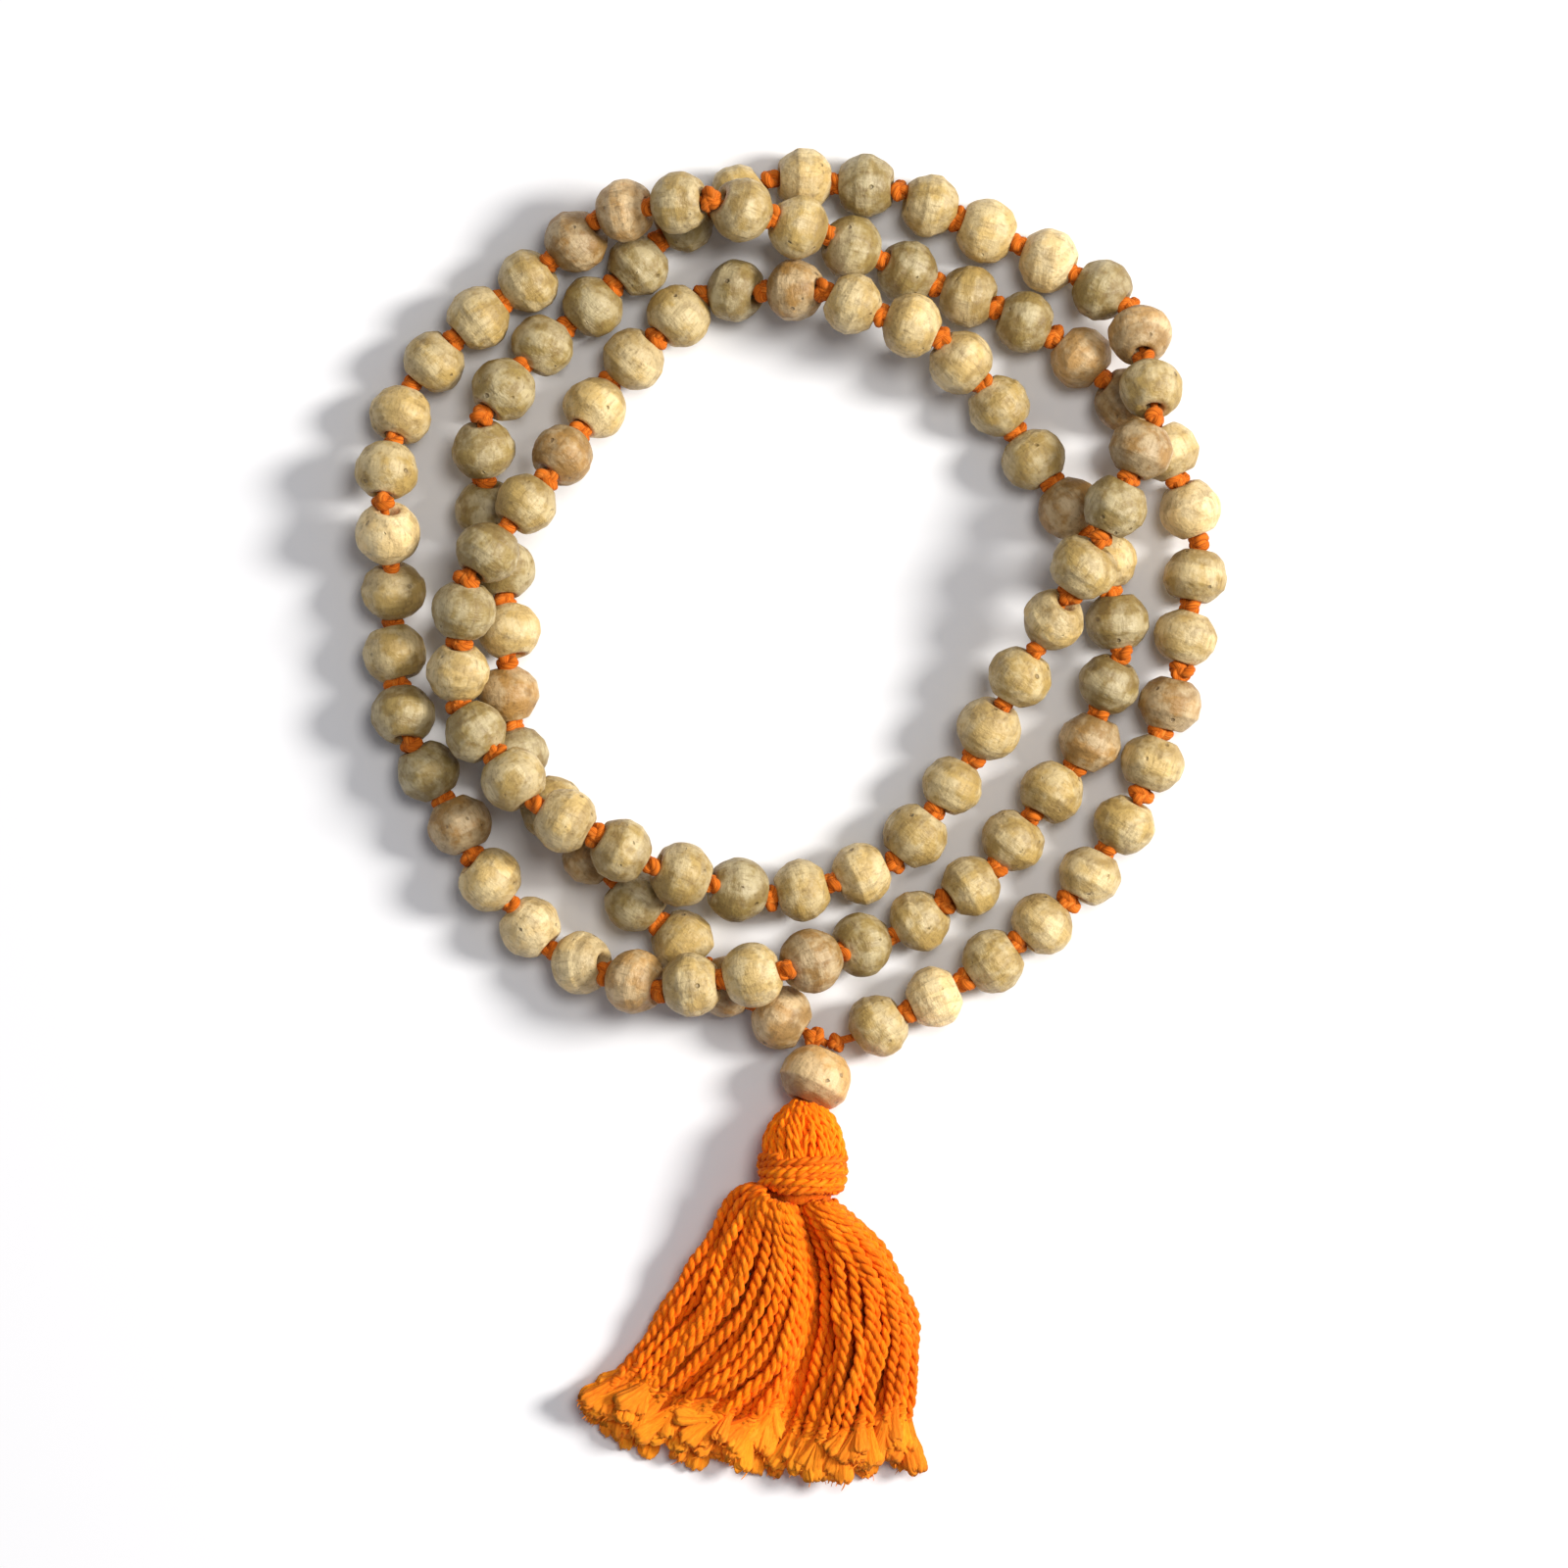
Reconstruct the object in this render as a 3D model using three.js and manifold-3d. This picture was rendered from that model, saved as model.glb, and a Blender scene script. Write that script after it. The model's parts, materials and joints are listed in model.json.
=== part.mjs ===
// A string of 108 turned wooden prayer beads on one knotted cotton thread, with a guru bead and a cotton tassel.
// It lies in three rounds on a flat surface. Millimetres, +Z up, the surface at Z = 0, the tassel towards -Y.

import * as THREE from "three";
import { mergeVertices } from "three/addons/utils/BufferGeometryUtils.js";
import Module from "manifold-3d";

// ---- Driving dimensions -------------------------------------------------------------------------------------

const PAIRS = 54; // the beads are made two by two, on one straight stretch of thread between knots
const BEADS = 2 * PAIRS;
const PITCH = 7.9; // from one bead's middle to the next in a pair, along the thread
const PAIR_LINK = 8; // the same between two pairs, where the thread bends
const CROTCH_LINK = 5.6; // the same between the crotch and the first or last bead
const LINK_PLAY = 1.45; // how much longer the last two may be
const SIDES = 8;

const BEAD = {
  length: 6.8,
  band: 2.5, // length of the widest stretch
  bandRadius: 3.9,
  endRadius: 2.25,
  reach: 4.1, // no point of a bead lies further than this from its middle
};
const BORE_RADIUS = 0.95;
const NECK = { length: 1.6, radius: 1.9 }; // the collar round the knot inside a pair

const THREAD_RADIUS = 0.55;
const KNOT_RADIUS = 1.15;
const KNOT_ROOM = 0.85; // share of the space between two bead faces that a knot may fill
const THREAD_PAST_BEAD = 0.12; // the thread runs on straight this far out of a bore before it bends
const FREE_THREAD = { least: 0.9, most: 1.7 }; // from where it leaves one pair to where it enters the next

const LEAST_SPAN = 15.4; // from a bead's middle to the next but one: the string bends no tighter

const GURU = {
  length: 7,
  band: 2.4,
  bandRadius: 4.2,
  endRadius: 2.4,
  bore: 1.3,
  clear: 8.9, // from its middle to that of any other bead
  downTilt: 14, // degrees that its lower mouth looks up from the surface
  lean: 20, // degrees that its lower mouth looks towards -X
};
const CROTCH_ABOVE_GURU = 1.2; // from the guru bead's upper face to the ball knot at the crotch
const CROTCH_RADIUS = 0.75;
const CROTCH_KNOT = 0.3; // how far towards the crotch the first and last knots sit from their beads

const GAP = 0.3; // between pieces that touch
const ROUND_GAP = 0.1; // kept between the beads of two rounds
const EASING = {
  rounds: 1200, // steps that draw each bead towards its place on the route
  freeRounds: 500, // last steps, which only set links and gaps
  inPlan: 0.1, // share of its distance from the route that a bead moves in one step
  down: 0.02, // the same, down towards the surface
  uprightShare: 3, // beads that meet move apart this much more up and down than sideways
};

const HEAD = {
  length: 11,
  radius: 5.35,
  tieRadius: 1.6, // of the small flat on top, where the tie comes in
  tieDepth: 0.2,
  shoulderRadius: 2.7,
  shoulderDepth: 1.2,
  cheekRadius: 4.4, // halfway down the dome, and at the open lower end
  cheekDepth: 3.2,
  fullDepth: 5.6, // where it reaches its full radius
  axisHeight: 5.5,
  lean: 3, // degrees that its lower end looks towards -X
  belowGuru: 0.7, // from the guru bead's lower mouth to its top
};
const BINDING = { start: 6.9, end: 9.9, inner: 4.95, outer: 5.45, groove: 4.6 };
const TASSEL_SIDES = 12;
const SKIRT_BELOW_HEAD = 1;

// The crotch, where both ends of the thread come together above the guru bead, then the middle of each pair
// of beads in order along the thread: X, Y and height. A stretch that crosses over a lower round is higher.
const ROUTE = [
  [4.2, -28.6, 3.35],
  // first round, from the right of the guru bead, anticlockwise
  [13, -25, 4], [28, -16.5, 4], [41, -3.5, 4], [46.5, 11, 4], [50.5, 27, 4], [50, 44, 4],
  [39, 57, 4], [26, 65, 4], [11, 70.5, 4], [-3, 76, 9.5], [-18.5, 78, 10.5], [-31.5, 70.5, 4.5],
  [-43.5, 60, 4], [-50.5, 47, 4], [-51, 32.5, 4], [-49.5, 17, 4], [-44.5, 4, 4], [-37, -9, 4],
  // second round, inside it
  [-24.5, -19, 4], [-10, -20.5, 10], [6.5, -16.5, 6], [19.5, -10, 4], [30, 0.5, 4], [38.5, 14, 4],
  [39.5, 28.5, 4], [33, 42, 4], [24, 55, 5], [10.5, 66, 11], [-4, 68.5, 8], [-17.5, 61.5, 4],
  [-27.5, 49.5, 4], [-35.5, 38, 10.5], [-44, 23, 9.5], [-40, 8.5, 10], [-26, -2.5, 10.5], [-9.5, -9, 7],
  // third round, which comes back to the left of the guru bead
  [5, -8.5, 4], [18, 0, 4], [25, 14, 5], [36, 28.5, 10.5], [42.5, 45, 10], [45.5, 59, 9],
  [36.5, 69, 4], [20.5, 76.5, 4], [5, 81, 4], [-12, 77.5, 4], [-23.5, 67.5, 4], [-34.5, 55.5, 4],
  [-38.5, 43, 4], [-36.5, 27.5, 4], [-36, 14, 4], [-29, 0.5, 4], [-17, -13, 4], [-5, -23.5, 4],
];

// A cut across a skirt half: straight sides up to edgeShare of its thickness, then an arch over
// haunchAt of its half width, where it has haunchShare of its thickness.
const SKIRT_ARCH = { edgeShare: 0.45, haunchAt: 0.6, haunchShare: 0.9 };

// The two halves of the tassel's skirt, cut across Y: Y, left edge, right edge, thickness.
const SKIRT_LEFT = [
  [-48.9, -3.2, 0.8, 7.6],
  [-53, -11, 1.8, 7],
  [-58, -15.5, 2.2, 6.4],
  [-64, -19.5, 1.8, 6],
  [-68, -23, 1, 5.6],
  [-72.5, -28.5, -0.6, 5],
  [-76, -26.5, -1.5, 5],
  [-80, -23, -2.5, 4.4],
  [-82.5, -15, -2.8, 3.6],
  [-84.3, -7, -3.2, 2.6],
];
const SKIRT_RIGHT = [
  [-48.9, 1.2, 4.9, 7.6],
  [-52, 2, 9, 7],
  [-57, 2.6, 12.8, 6.4],
  [-64, 2.3, 15.8, 6],
  [-70, 1.1, 15.6, 5.6],
  [-76, -0.8, 15.2, 5],
  [-80, -1.9, 15.5, 4.4],
  [-83, -1.9, 13, 3.6],
  [-85.3, 0, 8, 2.6],
];

// ---- Materials ----------------------------------------------------------------------------------------------

const wood = new THREE.MeshStandardMaterial({ color: 0xcdb98a, roughness: 0.55, metalness: 0 });
const guruWood = new THREE.MeshStandardMaterial({ color: 0xd9b98a, roughness: 0.55, metalness: 0 });
const cotton = new THREE.MeshStandardMaterial({ color: 0xf0761a, roughness: 0.95, metalness: 0 });

// ---- How the string lies ------------------------------------------------------------------------------------

// The shortest and longest that link i may be, from stop i of the string to the next; stop 0 is the crotch.
function linkLimits(i) {
  if (i === 0 || i === BEADS) return [CROTCH_LINK, CROTCH_LINK + LINK_PLAY];
  const insidePair = i % 2 === 1;
  return insidePair ? [PITCH, PITCH] : [PAIR_LINK, PAIR_LINK + LINK_PLAY];
}

// Moves two points along the line between them until they are `length` apart.
function setApart(a, b, length) {
  const between = b.clone().sub(a);
  const move = between.setLength((between.length() - length) / 2);
  a.add(move);
  b.sub(move);
}

function keepLink(a, b, [shortest, longest]) {
  const length = a.distanceTo(b);
  if (length < shortest) setApart(a, b, shortest);
  if (length > longest) setApart(a, b, longest);
}

// Keeps the free thread between two pairs of beads short: it leaves along the first pair's bore and enters
// along the second's, so the pairs cannot lie side by side.
function keepFreeThread(first, leaving, entering, last) {
  const ahead = (BEAD.length / 2 + THREAD_PAST_BEAD) / PITCH;
  const leave = leaving.clone().lerp(first, -ahead);
  const enter = entering.clone().lerp(last, -ahead);
  const between = enter.sub(leave);
  const length = between.length();
  const kept = THREE.MathUtils.clamp(length, FREE_THREAD.least, FREE_THREAD.most);
  const push = between.setLength((length - kept) / (2 * ((1 + ahead) ** 2 + ahead ** 2)));
  leaving.addScaledVector(push, 1 + ahead);
  first.addScaledVector(push, -ahead);
  entering.addScaledVector(push, -1 - ahead);
  last.addScaledVector(push, ahead);
}

// Pushes two beads apart, mostly up and down, so that a crossing keeps its place in plan.
function pushApart(a, b, distance) {
  const between = b.clone().sub(a);
  const missing = distance - between.length();
  if (missing <= 0) return;
  const push = new THREE.Vector3(between.x, between.y, EASING.uprightShare * between.z).setLength(missing / 2);
  a.sub(push);
  b.add(push);
}

// Where the crotch and each bead would lie with the pairs centred on the route.
function aimStops() {
  const curve = new THREE.CatmullRomCurve3(ROUTE.map((p) => new THREE.Vector3(...p)), true, "centripetal");
  const [start, ...middles] = ROUTE.map((p) => new THREE.Vector3(...p));
  const beads = middles.flatMap((middle, k) => {
    const along = curve.getTangent((k + 1) / ROUTE.length);
    return [-PITCH / 2, PITCH / 2].map((off) => middle.clone().addScaledVector(along, off));
  });
  return [start, ...beads];
}

// Draws each stop a little towards its aim, and each bead down towards the surface.
function drawToAims(stops, aims) {
  stops.forEach((p, i) => {
    p.x += EASING.inPlan * (aims[i].x - p.x);
    p.y += EASING.inPlan * (aims[i].y - p.y);
    p.z -= EASING.down * (p.z - BEAD.reach);
  });
}

// One step that mends links, sharp bends and beads that touch.
function mend(stops) {
  stops.forEach((p, i) => keepLink(p, stops[(i + 1) % stops.length], linkLimits(i)));
  for (let i = 1; i < BEADS - 1; i++)
    if (stops[i].distanceTo(stops[i + 2]) < LEAST_SPAN) setApart(stops[i], stops[i + 2], LEAST_SPAN);
  for (let i = 2; i < BEADS; i += 2) keepFreeThread(...stops.slice(i - 1, i + 3));
  for (let i = 1; i <= BEADS; i++)
    for (let j = i + 2; j <= BEADS; j++) pushApart(stops[i], stops[j], 2 * BEAD.reach + ROUND_GAP);
}

// Moves the beads from their aims until links hold, no two beads touch and none is in the surface.
function layBeads() {
  const aims = aimStops();
  const stops = aims.map((p) => p.clone());
  for (let round = 0; round < EASING.rounds + EASING.freeRounds; round++) {
    if (round < EASING.rounds) drawToAims(stops, aims);
    mend(stops);
    stops[0].copy(aims[0]);
    for (const p of stops.slice(1)) {
      const fromGuru = p.clone().sub(guruMiddle);
      if (fromGuru.length() < GURU.clear) p.copy(guruMiddle).add(fromGuru.setLength(GURU.clear));
      p.z = Math.max(p.z, BEAD.reach);
    }
  }
  return stops;
}

// ---- Guru bead and tassel directions ------------------------------------------------------------------------

const degrees = THREE.MathUtils.degToRad;
const crotch = new THREE.Vector3(...ROUTE[0]);
const guruDown = new THREE.Vector3(
  -Math.sin(degrees(GURU.lean)) * Math.cos(degrees(GURU.downTilt)),
  -Math.cos(degrees(GURU.lean)) * Math.cos(degrees(GURU.downTilt)),
  Math.sin(degrees(GURU.downTilt)),
);
const guruMiddle = crotch.clone().addScaledVector(guruDown, CROTCH_ABOVE_GURU + GURU.length / 2);
const guruMouth = guruMiddle.clone().addScaledVector(guruDown, GURU.length / 2 + GAP / 2);
const headDown = new THREE.Vector3(-Math.sin(degrees(HEAD.lean)), -Math.cos(degrees(HEAD.lean)), 0);
const headTop = new THREE.Vector3(guruMouth.x, guruMouth.y, HEAD.axisHeight).addScaledVector(headDown, HEAD.belowGuru);
const neck = headTop.clone().addScaledVector(headDown, HEAD.length + SKIRT_BELOW_HEAD / 2);

const beadMiddles = layBeads();

// Each pair's middle and the thread's direction through it.
export const pairs = Array.from({ length: PAIRS }, (_, k) => {
  const a = beadMiddles[2 * k + 1];
  const b = beadMiddles[2 * k + 2];
  return {
    name: `bead_pair_${String(k + 1).padStart(2, "0")}`,
    middle: a.clone().add(b).multiplyScalar(0.5),
    along: b.clone().sub(a).normalize(),
  };
});

// ---- Solids -------------------------------------------------------------------------------------------------

const MERGE_DISTANCE = 1e-3; // points nearer than this are one point
const LEAST_BEND = 1e-6; // below this the thread counts as straight

const wasm = await Module();
wasm.setup();

function toManifold(geometry) {
  const bare = geometry.clone();
  bare.deleteAttribute("normal");
  bare.deleteAttribute("uv");
  const merged = mergeVertices(bare, MERGE_DISTANCE);
  return new wasm.Manifold(
    new wasm.Mesh({
      numProp: 3,
      vertProperties: new Float32Array(merged.attributes.position.array),
      triVerts: new Uint32Array(merged.index.array),
    }),
  );
}

function toGeometry(manifold) {
  const mesh = manifold.getMesh();
  const geometry = new THREE.BufferGeometry();
  geometry.setAttribute("position", new THREE.BufferAttribute(new Float32Array(mesh.vertProperties), 3));
  geometry.setIndex(new THREE.BufferAttribute(new Uint32Array(mesh.triVerts), 1));
  geometry.computeVertexNormals();
  return geometry;
}

// Rings of points in order, joined into one closed skin with a fan over each end.
function loft(rings) {
  const sides = rings[0].length;
  const points = rings.flat();
  const index = [];
  for (let r = 0; r < rings.length - 1; r++)
    for (let s = 0; s < sides; s++) {
      const a = r * sides + s;
      const b = r * sides + ((s + 1) % sides);
      index.push(a, b, b + sides, a, b + sides, a + sides);
    }
  const last = (rings.length - 1) * sides;
  for (let s = 1; s < sides - 1; s++) {
    index.push(0, s + 1, s);
    index.push(last, last + s, last + s + 1);
  }
  const geometry = new THREE.BufferGeometry().setFromPoints(points);
  geometry.setIndex(index);
  return geometry;
}

// A round skin along a line of stations { at, along, radius }; each ring is square to its own direction.
function sweep(stations, sides) {
  let across = new THREE.Vector3(0, 0, 1);
  const rings = stations.map(({ at, along, radius }) => {
    across = across.clone().addScaledVector(along, -across.dot(along)).normalize();
    const other = along.clone().cross(across);
    return Array.from({ length: sides }, (_, s) => {
      const angle = (2 * Math.PI * s) / sides;
      return at.clone()
        .addScaledVector(across, radius * Math.cos(angle))
        .addScaledVector(other, radius * Math.sin(angle));
    });
  });
  return loft(rings);
}

// A closed ring-shaped solid turned about the Y axis from pairs of [radius, y], listed from -Y to +Y outside.
function turned(outline, sides) {
  const profile = [...outline, outline[0]].map(([radius, y]) => new THREE.Vector2(radius, y));
  return new THREE.LatheGeometry(profile, sides);
}

// One bead's outside, from its lower face to its upper one, about `middle` on the Y axis.
function beadOutline({ length, band, bandRadius, endRadius }, middle) {
  return [
    [endRadius, middle - length / 2],
    [bandRadius, middle - band / 2],
    [bandRadius, middle + band / 2],
    [endRadius, middle + length / 2],
  ];
}

function placed(name, geometry, material, at, along) {
  const mesh = new THREE.Mesh(geometry, material);
  mesh.name = name;
  mesh.position.copy(at);
  mesh.quaternion.setFromUnitVectors(new THREE.Vector3(0, 1, 0), along);
  return mesh;
}

// Two bored beads and the collar between them, which stands for the knot that keeps them apart.
function beadPairGeometry() {
  const end = PITCH / 2 + BEAD.length / 2;
  const lower = beadOutline(BEAD, -PITCH / 2);
  const upper = beadOutline(BEAD, PITCH / 2);
  lower[3] = [NECK.radius, -NECK.length / 2];
  upper[0] = [NECK.radius, NECK.length / 2];
  return turned([[BORE_RADIUS, -end], ...lower, ...upper, [BORE_RADIUS, end]], SIDES);
}

// ---- Nodes --------------------------------------------------------------------------------------------------

function makeBeadPairs() {
  const geometry = beadPairGeometry();
  return pairs.map(({ name, middle, along }) => placed(name, geometry, wood, middle, along));
}

// The widest ring of a knot, `share` of the way between two stations and facing halfway between their
// directions. Where the thread bends sharply it is smaller, so that it stays clear of both bead faces.
function knotBetween(before, after, share) {
  const at = before.at.clone().lerp(after.at, share);
  const along = before.along.clone().add(after.along).normalize();
  const room = [before, after].map((stop) => {
    const fromFace = Math.abs(at.clone().sub(stop.at).dot(stop.along));
    return (KNOT_ROOM * fromFace) / Math.max(Math.sin(along.angleTo(stop.along)), LEAST_BEND);
  });
  return { at, along, radius: Math.max(THREAD_RADIUS, Math.min(KNOT_RADIUS, ...room)) };
}

// The thread from the crotch through all the beads and back, with a knot between one pair and the next.
function makeThread() {
  const half = PITCH / 2 + BEAD.length / 2 + THREAD_PAST_BEAD;
  const ends = pairs.flatMap(({ middle, along }) => [-half, half].map((off) => (
    { at: middle.clone().addScaledVector(along, off), along, radius: THREAD_RADIUS }
  )));
  const firstAlong = ends[0].at.clone().sub(crotch).normalize();
  const lastAlong = crotch.clone().sub(ends[ends.length - 1].at).normalize();
  const stops = [
    { at: crotch, along: firstAlong, radius: THREAD_RADIUS },
    ...ends,
    { at: crotch, along: lastAlong, radius: THREAD_RADIUS },
  ];
  const share = (i) => (i === 0 ? 1 - CROTCH_KNOT : i === stops.length - 2 ? CROTCH_KNOT : 0.5);
  const stations = stops.flatMap((stop, i) => {
    const knotFollows = i % 2 === 0 && i < stops.length - 1;
    return knotFollows ? [stop, knotBetween(stop, stops[i + 1], share(i))] : [stop];
  });
  const ball = new THREE.SphereGeometry(CROTCH_RADIUS, SIDES, SIDES / 2);
  ball.translate(crotch.x, crotch.y, crotch.z);
  const whole = toManifold(sweep(stations, SIDES)).add(toManifold(ball));
  const mesh = new THREE.Mesh(toGeometry(whole), cotton);
  mesh.name = "thread";
  return mesh;
}

function makeGuruBead() {
  const half = GURU.length / 2;
  const outline = [[GURU.bore, -half], ...beadOutline(GURU, 0), [GURU.bore, half]];
  return placed("guru_bead", turned(outline, TASSEL_SIDES), guruWood, guruMiddle, guruDown);
}

// The rounded cotton head: strands folded over the cord, with a groove where the binding sits.
function makeTasselHead() {
  const profile = [
    [0, 0],
    [HEAD.tieRadius, HEAD.tieDepth],
    [HEAD.shoulderRadius, HEAD.shoulderDepth],
    [HEAD.cheekRadius, HEAD.cheekDepth],
    [HEAD.radius, HEAD.fullDepth],
    [HEAD.radius, BINDING.start - GAP],
    [BINDING.groove, BINDING.start - GAP],
    [BINDING.groove, BINDING.end + GAP],
    [BINDING.inner, BINDING.end + GAP],
    [HEAD.cheekRadius, HEAD.length],
    [0, HEAD.length],
  ].map(([radius, y]) => new THREE.Vector2(radius, y));
  return placed("tassel_head", new THREE.LatheGeometry(profile, TASSEL_SIDES), cotton, headTop, headDown);
}

// The turns of thread that hold the head together, as one ring.
function makeBinding() {
  const { start, end, inner, outer } = BINDING;
  const ring = turned([[inner, start], [outer, start + GAP], [outer, end - GAP], [inner, end]], TASSEL_SIDES);
  return placed("tassel_binding", ring, cotton, headTop, headDown);
}

// One half of the skirt: flat underneath, arched on top.
function makeSkirt(name, cuts) {
  const { edgeShare, haunchAt, haunchShare } = SKIRT_ARCH;
  const rings = cuts.map(([y, left, right, height]) => {
    const middle = (left + right) / 2;
    const half = (right - left) / 2;
    return [
      [right, 0],
      [right, edgeShare * height],
      [middle + haunchAt * half, haunchShare * height],
      [middle, height],
      [middle - haunchAt * half, haunchShare * height],
      [left, edgeShare * height],
      [left, 0],
    ].map(([x, z]) => new THREE.Vector3(x, y, z));
  });
  const mesh = new THREE.Mesh(loft(rings), cotton);
  mesh.name = name;
  return mesh;
}

const mala = new THREE.Group();
mala.add(
  makeThread(),
  ...makeBeadPairs(),
  makeGuruBead(),
  makeTasselHead(),
  makeBinding(),
  makeSkirt("tassel_skirt_left", SKIRT_LEFT),
  makeSkirt("tassel_skirt_right", SKIRT_RIGHT),
);

// The origin is the middle of the string's box, on the surface.
const box = new THREE.Box3().setFromObject(mala, true);
export const shift = new THREE.Vector3(-(box.min.x + box.max.x) / 2, -(box.min.y + box.max.y) / 2, -box.min.z);
mala.position.copy(shift);

export const pivots = { crotch, guruMouth, neck };

export default mala;
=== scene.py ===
"""Looks of the mala prayer beads: turned wooden beads on knotted orange cotton, with a tassel of yarn.

Lengths in this script are millimetres unless a name ends in _M; pieces are made in millimetres and scaled
to metres when their mesh is built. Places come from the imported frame's joints.
"""

import json
import math

import bpy
import numpy as np
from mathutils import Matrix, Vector


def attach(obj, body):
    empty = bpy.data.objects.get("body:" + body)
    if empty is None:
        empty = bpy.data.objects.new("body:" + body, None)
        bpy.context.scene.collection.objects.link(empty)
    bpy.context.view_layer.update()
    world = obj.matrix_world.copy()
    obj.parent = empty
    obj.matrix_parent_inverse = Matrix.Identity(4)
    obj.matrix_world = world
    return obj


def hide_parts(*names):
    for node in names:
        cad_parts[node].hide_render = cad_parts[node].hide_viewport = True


MM = 0.001

# ---- Driving dimensions ---------------------------------------------------------------------------

PITCH = 7.9  # between the two beads of a pair, along the thread
CORD_RADIUS = 0.5
PLY_TURN = -3.1  # length in which two plies of tassel yarn go once round each other, clockwise

BEAD_SIDES = 56
BEAD = {
    "half": 3.45,  # half its length along the bore
    "radius": 4.07,
    "band": 0.95,  # half the width of its widest stretch
    "face": 2.15,  # radius of its flat end
    "mouth": 1.3,  # radius of the hollow that the knot sits in
    "bore": 0.85,
    "reach": 4.16,  # nothing on a bead is further from its middle
}
GURU = {
    "half": 3.75,
    "radius": 4.65,
    "band": 1.0,
    "face": 2.6,
    "mouth": 1.7,
    "bore": 1.15,
    "reach": 4.85,
}

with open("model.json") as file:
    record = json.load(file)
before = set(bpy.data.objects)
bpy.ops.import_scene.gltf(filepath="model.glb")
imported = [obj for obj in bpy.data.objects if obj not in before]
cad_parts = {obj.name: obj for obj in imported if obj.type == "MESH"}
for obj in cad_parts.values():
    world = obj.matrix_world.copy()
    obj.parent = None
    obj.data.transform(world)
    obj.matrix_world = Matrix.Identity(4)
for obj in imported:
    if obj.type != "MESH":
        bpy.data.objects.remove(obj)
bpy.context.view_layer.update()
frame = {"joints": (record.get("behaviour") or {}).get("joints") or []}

joints = {j["name"]: j for j in frame["joints"]}


def in_mm(point):
    return np.array(point, float) / MM


# ---- Camera ---------------------------------------------------------------------------------------

CAMERA_HEIGHT_M = 1.3
VIEW_WIDTH_M = 0.2  # what the picture spans at the height of the beads' middles
AIM_M = (-0.001, 0.0044)


def make_camera():
    data = bpy.data.cameras.new("camera")
    data.sensor_width = 36
    data.lens = data.sensor_width * (CAMERA_HEIGHT_M - PITCH / 2 * MM) / VIEW_WIDTH_M
    camera = bpy.data.objects.new("camera", data)
    camera.location = (*AIM_M, CAMERA_HEIGHT_M)
    bpy.context.scene.collection.objects.link(camera)
    bpy.context.scene.camera = camera


make_camera()

# ---- Mesh building --------------------------------------------------------------------------------


def unit(v):
    return v / np.maximum(np.linalg.norm(v, axis=-1, keepdims=True), 1e-9)


def side_frame(along):
    """Two directions square to `along` and to each other."""
    help_axis = np.array([0, 0, 1.0]) if abs(along[2]) < 0.9 else np.array([1.0, 0, 0])
    a = unit(np.cross(help_axis, along))
    return a, np.cross(along, a)


def ring_frames(path):
    """For each point of a path, its direction and two side directions that turn as little as they can."""
    along = unit(np.gradient(path, axis=0))
    across = np.empty_like(along)
    across[0] = side_frame(along[0])[0]
    for i in range(1, len(path)):
        turned = across[i - 1] - along[i] * (across[i - 1] @ along[i])
        across[i] = turned / max(np.linalg.norm(turned), 1e-9)
    return along, across, np.cross(along, across)


def lengths(path):
    """How far each point of a path is from its start, along it."""
    return np.concatenate([[0], np.cumsum(np.linalg.norm(np.diff(path, axis=0), axis=1))])


def resample(path, step):
    """Points along a smooth curve through `path`, about `step` apart."""
    path = np.asarray(path, float)
    n = len(path)
    ahead = np.vstack([path, 2 * path[-1] - path[-2]])
    full = np.vstack([2 * path[0] - path[1], ahead])
    fine = []
    for i in range(n - 1):
        p0, p1, p2, p3 = full[i : i + 4]
        t = np.linspace(0, 1, 12, endpoint=False)[:, None]
        fine.append(
            0.5
            * (
                2 * p1
                + (p2 - p0) * t
                + (2 * p0 - 5 * p1 + 4 * p2 - p3) * t**2
                + (3 * p1 - p0 - 3 * p2 + p3) * t**3
            )
        )
    fine = np.vstack([*fine, path[-1:]])
    s = lengths(fine)
    count = max(3, int(round(s[-1] / step)) + 1)
    at = np.linspace(0, s[-1], count)
    return np.column_stack([np.interp(at, s, fine[:, k]) for k in range(path.shape[1])])


def grid_quads(rows, columns):
    """Quads of a tube with `rows` rings of `columns` points."""
    r, c = np.meshgrid(np.arange(rows - 1), np.arange(columns), indexing="ij")
    a = r * columns + c
    b = r * columns + (c + 1) % columns
    return np.stack([a, b, b + columns, a + columns], axis=-1).reshape(-1, 4)


def cap_quads(first, sides, turned):
    """Quads that close a ring of an even number of points."""
    ring = [
        (first + i, first + i + 1, first + sides - 2 - i, first + sides - 1 - i)
        for i in range(sides // 2 - 1)
    ]
    quads = np.array(ring)
    return quads[:, ::-1] if turned else quads


LOBE_DEPTH = 0.16  # share of its radius by which a rope's plies stand out
GROOVE_DEPTH = 0.075  # the same for the grooves of a tuft, for each wave round it
TUFT_SIDES = 36
TUFT_HEIGHT = 0.7  # of its width
RAGGEDNESS = 0.8  # how unevenly a tuft ends
ROUGH_FROM = 0.7  # share of a tuft's length after which its end turns ragged


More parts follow.
